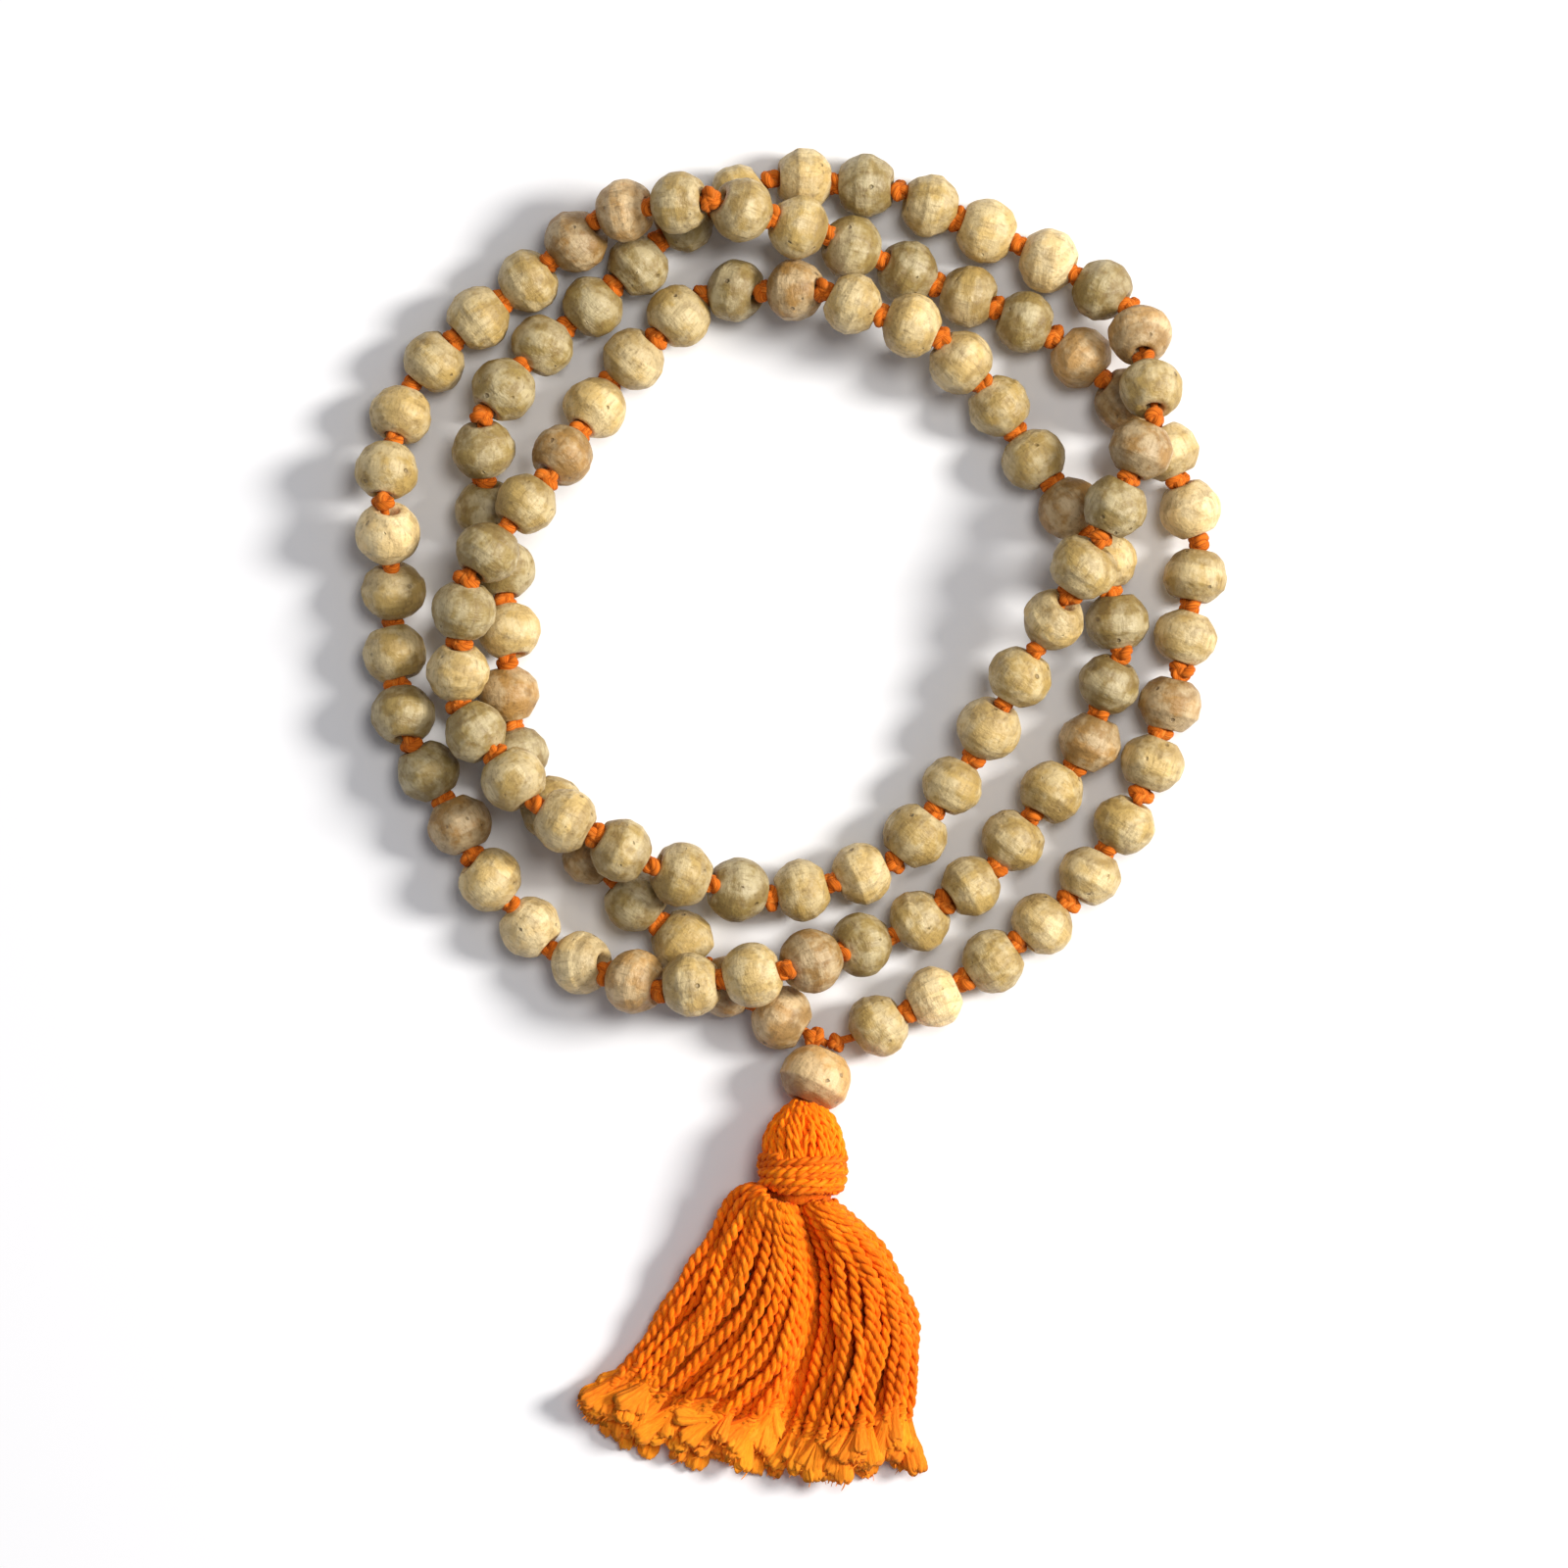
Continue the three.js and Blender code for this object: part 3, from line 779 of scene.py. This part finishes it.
def make_head():
    soup = Soup()
    for layer, count in enumerate((42, 36)):
        for k in range(count):
            rng = np.random.default_rng(500 + 100 * layer + k)
            y = np.linspace(rng.uniform(0.1, 0.9), HEAD_LENGTH - 0.8, 44)
            wander = rng.uniform(0.05, 0.2) * np.sin(y * rng.uniform(0.3, 0.8) + rng.uniform(0, 6))
            angle = 2 * math.pi * (k + rng.uniform(-0.35, 0.35)) / count + wander
            lift = -0.62 - 0.45 * layer + 0.2 * np.sin(y * rng.uniform(0.5, 0.9) + rng.uniform(0, 6))
            path = resample(on_head(y, angle, lift), POINT_STEP)
            # Painted light: the head's yarn is a lighter copy of the skirt's, at 1.2.
            yarn(soup, path, ply=HEAD_PLY, turn=-3.0, seed=500 + k, tint=yarn_tint(rng, 1.2))
    piece = soup.build("tassel_head_yarns", tassel_cotton)
    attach(piece, "tassel_head")
    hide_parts("tassel_head")


def make_head_core():
    soup = Soup()
    y = np.linspace(0.2, HEAD_LENGTH + 0.8, 24)
    path = head_top + head_down * y[:, None]
    # Painted shade: the core that shows between the head's yarns is tinted darker.
    soup.tube(path, head_radius(y) - 1.1, sides=24, lean=0.0, tint=(0.7, 0.6, 0.6))
    below = np.linspace(0, 1, 9)
    spread = neck + head_down * (below[:, None] * 6 - 1.5)
    spread = spread + np.array([-0.6, 0, -1.0]) + (0, 0, -1.6) * below[:, None]
    # Painted shade: the filling under the binding, where the skirt spreads, is tinted darker.
    soup.tube(spread, np.interp(below, [0, 0.4, 1], [4.2, 2.9, 1.6]), sides=24, tint=(0.85, 0.75, 0.7))
    piece = soup.build("tassel_core", tassel_cotton)
    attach(piece, "tassel_head")


def make_binding():
    """Turns of the same yarn round the lower half of the head, not quite even."""
    soup = Soup()
    for k, (start, end, turns) in enumerate(BINDINGS):
        rng = np.random.default_rng(900 + k)
        t = np.linspace(0, 1, 44 * turns)
        wander = 0.3 * np.sin(2 * math.pi * turns * t + 0.6) + 0.22 * np.sin(t * 31 + k)
        y = start + (end - start) * t + wander
        angle = 2 * math.pi * turns * t + 2.2 + k
        path = on_head(y, angle, -0.3 + 0.25 * k + 0.15 * np.sin(t * 47))
        path[:, 2] = np.maximum(path[:, 2], 0.7)
        path = resample(path, POINT_STEP)
        yarn(soup, path, ply=BINDING_PLY, turn=-2.3, seed=901 + k, tint=yarn_tint(rng))
    piece = soup.build("tassel_binding_yarn", tassel_cotton)
    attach(piece, "tassel_head")
    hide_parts("tassel_binding")


make_head_core()
make_head()
make_binding()

# Guide lines of the skirt from the neck to the ends, X and Y from the neck pivot, left edge to right edge.
LEFT_GUIDES = [
    [
        (-4.6, 1.2), (-7.2, 1.4), (-9.2, -0.8), (-10.8, -4.2),
        (-14.6, -9.9), (-19.4, -17.8), (-24.2, -23.8), (-28.4, -28.4),
    ],
    [
        (-4.4, 0.7), (-6.6, -0.9), (-8.5, -5.2), (-10.6, -10.2),
        (-13.5, -15.0), (-17.5, -19.8), (-21.8, -24.6), (-26.0, -30),
    ],
    [
        (-3.8, 0.1), (-5.0, -3.7), (-6.5, -8.7), (-8.5, -13.1),
        (-11.5, -16.8), (-15.6, -20.6), (-20.2, -25.0), (-24.2, -30.4),
    ],
    [
        (-2.7, -0.2), (-2.8, -4.9), (-3.1, -9.9), (-4.2, -14.9),
        (-7.0, -18.9), (-11.2, -22.8), (-16.2, -27.4), (-20.2, -32.2),
    ],
    [
        (-1.7, -0.4), (-0.7, -5.6), (-0.3, -10.6), (-1.1, -16.2),
        (-3.1, -20.9), (-7.5, -24.9), (-12.5, -28.9), (-16.2, -33.4),
    ],
    [
        (-1.0, -0.6), (0.2, -5.6), (0.6, -10.8), (-0.1, -16.2),
        (-2.0, -21.2), (-4.6, -25.8), (-7.8, -30.2), (-11, -34.2),
    ],
    [
        (-0.6, -0.6), (0.8, -5.6), (1.4, -10.8), (0.9, -16.2),
        (-0.6, -21.2), (-2.1, -25.8), (-3.9, -30.2), (-5.8, -34.4),
    ],
]
RIGHT_GUIDES = [
    [
        (-0.1, -0.6), (1.5, -5.6), (2.2, -10.6), (1.9, -16.2),
        (0.5, -21.8), (-1.2, -26.8), (-2.8, -31.0), (-3.8, -35.2),
    ],
    [
        (1.0, -0.2), (3.8, -5.2), (5.3, -10.6), (5.6, -16.2),
        (4.6, -21.8), (2.8, -27.4), (1.6, -32.2), (1.0, -36.2),
    ],
    [
        (2.3, -0.2), (5.6, -4.7), (8.1, -9.9), (9.1, -15.6),
        (8.6, -21.8), (7.1, -27.4), (5.8, -32.2), (5.4, -36.4),
    ],
    [
        (3.3, -0.4), (6.8, -4.2), (10.1, -9.3), (11.9, -15.6),
        (11.8, -21.8), (10.7, -27.4), (9.6, -31.8), (9.0, -35.6),
    ],
    [
        (4.0, -0.6), (7.8, -3.8), (11.4, -8.6), (14.0, -15.2),
        (14.2, -22.0), (13.6, -28.0), (12.8, -31.6), (11.8, -34.8),
    ],
]

STRAND = 4 * YARN_PLY  # thickness of one strand of two plies
NECK_SHARE = 0.12  # the first part of a strand, over which it comes down from the neck
NECK_HEIGHT = 8.4  # of the bundle of strands at the neck
FALL = {"crease": 0.92, "edge": 0.5}  # how far the skirt's top comes down towards its sides
TUFT_RINGS = 22
TUFTS = 3  # at each strand's end
TUFT_REACH = (3.6, 6.8)
TUFT_SPREAD = 1.5  # between two tufts at their ends
LOOSE_FIBRES = 6  # round each tuft's end
STRAND_CUT = (4.4, 7.4)  # how much sooner a strand ends than the guides, for its tufts


def between_guides(guides, u):
    """A line u of the way, from 0 to 1, across the guides."""
    guides = [resample(g, 1.0) for g in guides]
    place = np.clip(u, 0, 1) * (len(guides) - 1)
    i = min(int(place), len(guides) - 2)
    share = place - i
    t = np.linspace(0, 1, 30)
    ends = []
    for guide in (guides[i], guides[i + 1]):
        s = lengths(guide) / lengths(guide)[-1]
        ends.append(np.column_stack([np.interp(t, s, guide[:, k]) for k in range(2)]))
    return ends[0] * (1 - share) + ends[1] * share


def bundle_height(t):
    """Height of the skirt's top, t of the way from the neck to the ends."""
    return np.interp(t, [0, 0.15, 0.5, 0.85, 1], [9.6, 8.4, 7.0, 5.4, 4.0])


def strand_path(guides, u, level, rng):
    """One strand's line: u across the skirt, level from 0 on the surface to 1 on top."""
    plan = between_guides(guides, u)
    t = np.linspace(0, 1, len(plan))
    at = np.column_stack([t * 34, t * 0 + u * 9, t * 0])
    sway = (waves(at, rng, 12, 0.38, 3) + waves(at, rng, 5, 0.12, 3)) * (0.4 + 0.6 * (level > 0))
    lean = 2 * u - 1 if guides is LEFT_GUIDES else 1 - 2 * u
    dome = math.sqrt(1 - lean**2 * (FALL["crease"] if lean > 0 else FALL["edge"]))
    room = np.maximum(bundle_height(t) * dome - STRAND, 0.3)
    z = STRAND / 2 + room * level + waves(at, rng, 9, 0.4, 3) * (level > 0)
    at_neck = neck[2] + (level - 0.5) * NECK_HEIGHT * dome
    down = t / NECK_SHARE
    z = np.where(down < 1, z * down + at_neck * (1 - down), z)
    across = unit(np.gradient(plan, axis=0))
    x = neck[0] + plan[:, 0] - across[:, 1] * sway * np.minimum(1, t * 4)
    y = neck[1] + plan[:, 1] + across[:, 0] * sway * np.minimum(1, t * 4)
    return np.column_stack([x, y, np.maximum(z, STRAND / 2)])


def tuft_radius(t):
    """Radius of a tuft, t of the way from the strand to its end: it flares, then closes in a dome."""
    return np.interp(t, [0, 0.2, 0.6, 0.86, 0.95, 0.985, 1], [0.5, 0.7, 1.0, 1.3, 1.2, 0.85, 0.08])


def loose_fibre(soup, first, aim, rng, tint):
    """One thin fibre that stands out of a tuft."""
    u = np.linspace(0, 1, 6)[:, None]
    path = first + aim * rng.uniform(0.4, 1.1) * u + rng.normal(size=3) * 0.2 * u**2
    path[:, 2] = np.maximum(path[:, 2], 0.12)
    thick = rng.uniform(0.06, 0.12) * (1 - 0.6 * u[:, 0] ** 2)
    soup.tube(path, thick, sides=5, tint=tint, fray=1.0)


def frayed_end(soup, tip, direction, seed, tint):
    """Where a strand ends its twist has come undone: a soft flared tuft, with loose fibres round its end."""
    rng = np.random.default_rng(seed)
    side = unit(np.cross(direction, (0, 0, 1.0)))
    t = np.sin(np.linspace(0, math.pi / 2, TUFT_RINGS))[:, None]
    for lobe in range(TUFTS):
        reach = rng.uniform(*TUFT_REACH)
        lean = side * (lobe - 1 + rng.uniform(-0.5, 0.5)) * TUFT_SPREAD
        lean = lean + rng.normal(size=3) * (0.4, 0.4, 0.5)
        spine = tip + direction * (reach * t - 2.0) + lean * t**1.5
        swell = tuft_radius(t[:, 0]) * rng.uniform(0.75, 1.15)
        spine[:, 2] = np.maximum(spine[:, 2], swell * 0.66)
        soup.tuft(spine, swell, rng, np.array(tint) * rng.uniform(0.88, 1.04))
        for _ in range(LOOSE_FIBRES):
            first = spine[rng.integers(10, 21)] + side * rng.uniform(-0.9, 0.9)
            aim = unit(direction + side * rng.normal() * 0.5 + np.array([0, 0, rng.normal() * 0.3]))
            loose_fibre(soup, first, aim, rng, tint)


def make_skirt(side, guides, body, node, counts):
    levels = ("low", "middle", "top")
    for level, count in enumerate(counts):
        soup, ends = Soup(), Soup()
        for k in range(count):
            seed = 7000 + 1000 * level + 100 * (side == "right") + k
            rng = np.random.default_rng(seed)
            u = np.clip((k + rng.uniform(-0.3, 0.3)) / (count - 1), 0, 1)
            path = strand_path(guides, u, level / 2, rng)
            s = lengths(path)
            shorten = rng.uniform(*STRAND_CUT)
            path = resample(path[s < s[-1] - shorten], 0.36)
            # Painted light: the left skirt's yarn is a lighter copy of the right skirt's.
            tint = yarn_tint(rng, 1.08 if side == "left" else 1.0)
            yarn(soup, path, seed=seed, tint=tint, open_end=2.5)
            frayed_end(ends, path[-1], unit(path[-1] - path[-8]), seed + 50, tint)
        for piece in (
            soup.build(f"tassel_strands_{side}_{levels[level]}", tassel_cotton),
            ends.build(f"tassel_ends_{side}_{levels[level]}", tassel_cotton),
        ):
            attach(piece, body)
            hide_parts(node)


make_skirt("left", LEFT_GUIDES, "skirt_left", "tassel_skirt_left", (32, 19, 16))
make_skirt("right", RIGHT_GUIDES, "skirt_right", "tassel_skirt_right", (20, 14, 12))

# ---- Floor, light ---------------------------------------------------------------------------------

FLOOR_HALF_M = 1.5
LIGHT_COLOUR = (1.0, 0.98, 0.95)


def make_floor():
    mesh = bpy.data.meshes.new("floor")
    corners = [(x * FLOOR_HALF_M, y * FLOOR_HALF_M, 0) for x, y in ((-1, -1), (1, -1), (1, 1), (-1, 1))]
    mesh.from_pydata(corners, [], [(0, 1, 2, 3)])
    n = Nodes("white_floor")
    n.shader.inputs["Base Color"].default_value = colour(0.86, 0.86, 0.87)
    n.shader.inputs["Roughness"].default_value = 0.9
    mesh.materials.append(n.material)
    floor = bpy.data.objects.new("floor", mesh)
    bpy.context.scene.collection.objects.link(floor)


def make_light(name, place, size, power):
    """A round light, its place and size in metres, that looks at the middle of the floor."""
    data = bpy.data.lights.new(name, "AREA")
    data.shape = "DISK"
    data.size = size
    data.energy = power
    data.color = LIGHT_COLOUR
    light = bpy.data.objects.new(name, data)
    light.location = place
    light.rotation_euler = (-Vector(place)).to_track_quat("-Z", "Y").to_euler()
    bpy.context.scene.collection.objects.link(light)


def make_world():
    world = bpy.data.worlds.new("studio")
    world.use_nodes = True
    background = world.node_tree.nodes["Background"]
    background.inputs["Color"].default_value = colour(0.84, 0.87, 1.0)
    background.inputs["Strength"].default_value = 0.23
    bpy.context.scene.world = world


make_floor()
make_world()
make_light("key", (0.39, 0.39, 1.77), 0.7, 12.5)
make_light("side", (1.24, 0.22, 0.98), 0.46, 31.5)
bpy.context.scene.view_settings.view_transform = "Standard"
